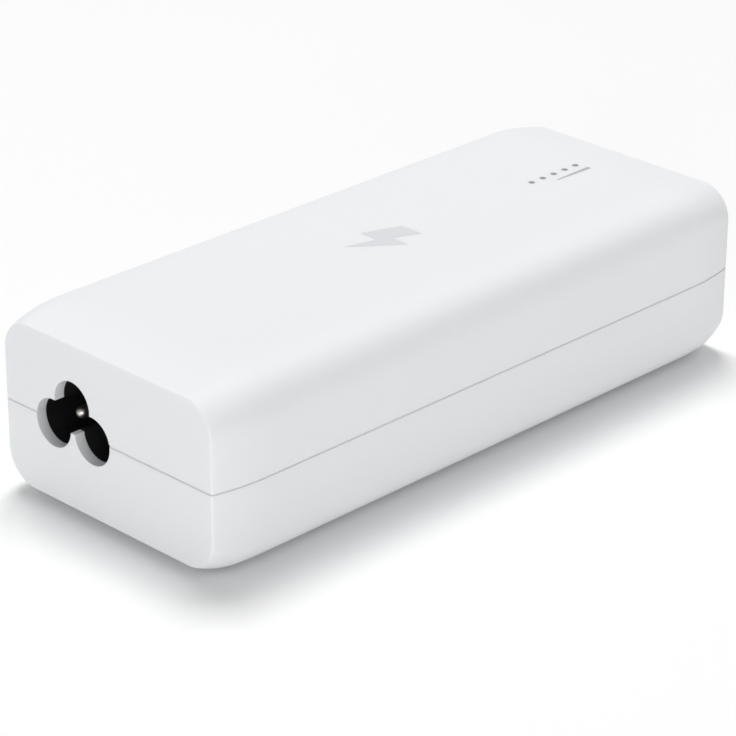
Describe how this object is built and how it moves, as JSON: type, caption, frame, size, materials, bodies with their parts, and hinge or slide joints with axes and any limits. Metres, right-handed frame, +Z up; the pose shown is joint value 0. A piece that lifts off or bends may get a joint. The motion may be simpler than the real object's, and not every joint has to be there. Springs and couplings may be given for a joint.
{
  "type": "power-over-ethernet injector",
  "caption": "White desktop PoE injector: soft-cornered two-part case, three-lobed mains inlet at one end, LAN and PoE jacks at the other, status light windows on top.",
  "frame": {"origin": "on the surface the feet stand on, under the middle of the case", "axes": "+X along the case towards the network jacks, +Z up; the mains inlet is at -X and is offset towards +Y"},
  "size_m": [0.14, 0.058, 0.0366],
  "materials": {
    "case_plastic": "fine satin moulded polycarbonate and ABS blend, cool white",
    "light_guide_plastic": "moulded translucent polycarbonate, grey-blue when unlit",
    "foot_rubber": "moulded grey silicone rubber",
    "zinc_steel": "zinc plated steel screw",
    "sheet_paper": "vulcanised insulating paper",
    "board_laminate": "green solder mask over glass laminate",
    "inlet_plastic": "moulded black glass-filled polyamide",
    "nickel_brass": "nickel plated brass contact",
    "fuse_glass": "ceramic fuse tube with plated caps",
    "varistor_coat": "dipped blue epoxy coating",
    "capacitor_box": "moulded yellow flame-retardant box",
    "ferrite": "sintered dark grey ferrite",
    "copper_wire": "enamelled copper wire",
    "package_epoxy": "moulded black epoxy package",
    "capacitor_sleeve": "dark blue sleeve over an aluminium can",
    "heatsink_aluminium": "extruded aluminium",
    "bobbin_plastic": "moulded black phenolic bobbin",
    "winding_tape": "yellow polyester tape over the windings",
    "disc_ceramic": "blue dipped ceramic disc",
    "optocoupler_body": "moulded white epoxy package",
    "gap_pad": "soft grey-blue silicone gap filler",
    "jack_plastic": "moulded black polyester jack body",
    "jack_steel": "tin plated steel shield, satin",
    "gold_contact": "gold plated phosphor bronze",
    "led_body": "white chip light with a clear cap"
  },
  "bodies": {
    "injector": {"top_cover": "case_plastic", "base_cover": "case_plastic", "rubber_feet": "foot_rubber", "case_screws": "zinc_steel", "insulation_sheet": "sheet_paper", "main_board": "board_laminate", "board_screws": "zinc_steel", "inlet_housing": "inlet_plastic", "line_pin": "nickel_brass", "neutral_pin": "nickel_brass", "earth_pin": "nickel_brass", "fuse": "fuse_glass", "varistor": "varistor_coat", "x_capacitor": "capacitor_box", "choke_core": "ferrite", "choke_windings": "copper_wire", "bridge_rectifier": "package_epoxy", "bulk_capacitor": "capacitor_sleeve", "primary_heatsink": "heatsink_aluminium", "switch_transistor": "package_epoxy", "transformer_bobbin": "bobbin_plastic", "transformer_core": "ferrite", "transformer_winding": "winding_tape", "y_capacitor": "disc_ceramic", "optocoupler": "optocoupler_body", "control_chip": "package_epoxy", "secondary_heatsink": "heatsink_aluminium", "output_rectifier": "package_epoxy", "output_capacitors": "capacitor_sleeve", "output_choke": "ferrite", "poe_controller": "package_epoxy", "lan_magnetics": "package_epoxy", "poe_magnetics": "package_epoxy", "heat_spreader": "heatsink_aluminium", "thermal_pad": "gap_pad", "lan_jack_housing": "jack_plastic", "lan_jack_shield": "jack_steel", "lan_jack_leads": "gold_contact", "poe_jack_housing": "jack_plastic", "poe_jack_shield": "jack_steel", "poe_jack_leads": "gold_contact", "status_leds": "led_body", "light_guide": "light_guide_plastic"},
    "lan_contacts": {"lan_contact_springs": "gold_contact"},
    "poe_contacts": {"poe_contact_springs": "gold_contact"}
  },
  "joints": [
    {"name": "lan_contact_flex", "type": "hinge", "parent": "injector", "child": "lan_contacts", "pos_m": [0.067, -0.01, 0.01], "axis": [0, -1, 0], "range_deg": [0, 8.5], "stiffness_Nm_per_rad": 0.46},
    {"name": "poe_contact_flex", "type": "hinge", "parent": "injector", "child": "poe_contacts", "pos_m": [0.067, 0.01, 0.01], "axis": [0, -1, 0], "range_deg": [0, 8.5], "stiffness_Nm_per_rad": 0.46}
  ]
}
